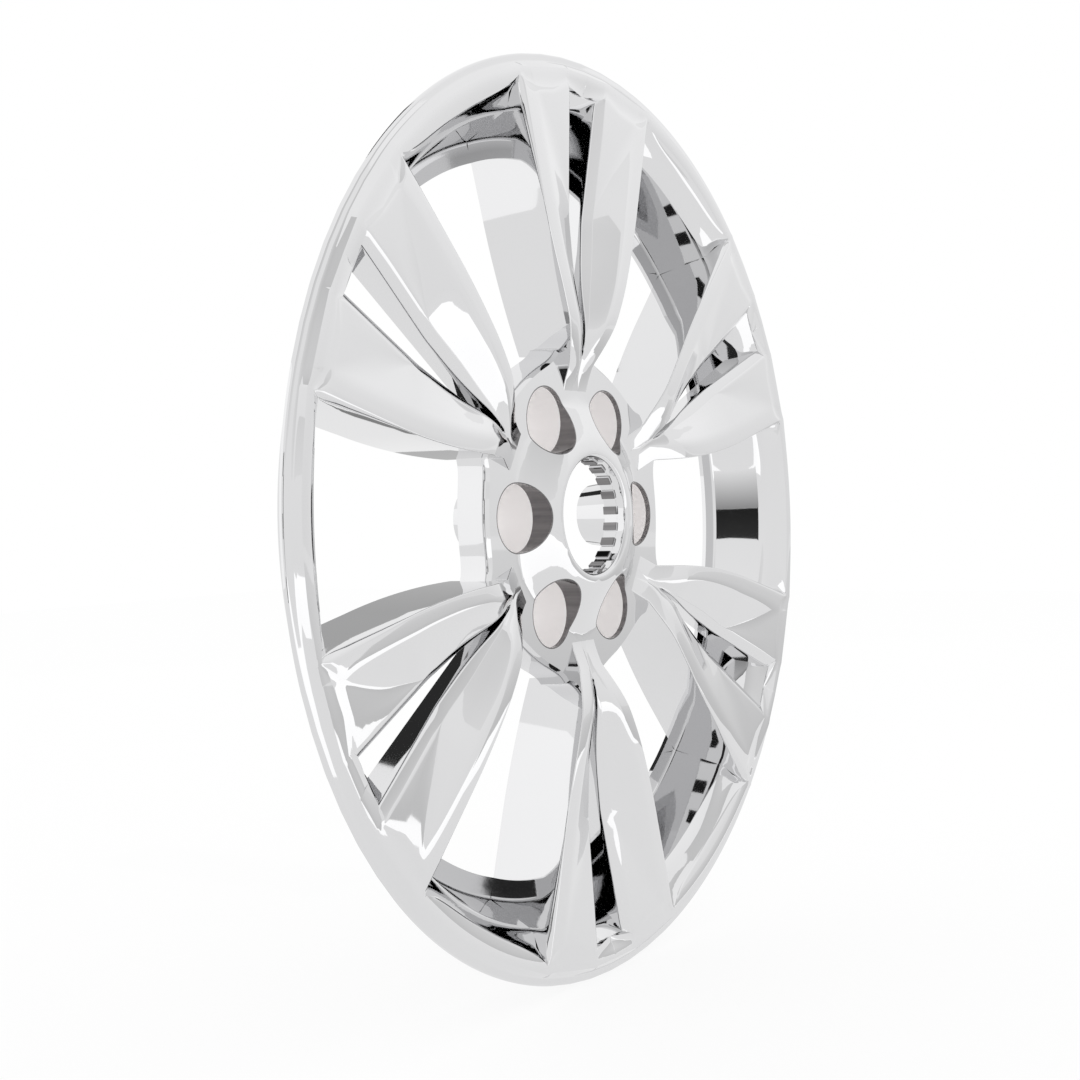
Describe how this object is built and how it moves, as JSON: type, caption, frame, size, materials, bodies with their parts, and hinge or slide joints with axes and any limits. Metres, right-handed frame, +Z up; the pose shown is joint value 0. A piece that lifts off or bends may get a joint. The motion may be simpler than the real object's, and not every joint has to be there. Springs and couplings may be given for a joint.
{
  "type": "wheel cover",
  "caption": "Round chrome-plated wheel cover with paired slotted spokes, open windows between the pairs, deep lug holes around a ringed centre opening and an open, thin-walled back.",
  "frame": {"origin": "on the wheel axis, in the middle of the lug circle on the plane of the lug pockets' floors", "axes": "+Z up, the wheel axis along Y with the visible face towards -Y, one lug hole towards +X"},
  "size_m": [0.58, 0.0513, 0.58],
  "materials": {
    "chrome_plated_plastic": "mirror-bright chrome plating on moulded ABS plastic"
  },
  "bodies": {
    "root": {"wheel_cover": "chrome_plated_plastic"}
  },
  "joints": []
}
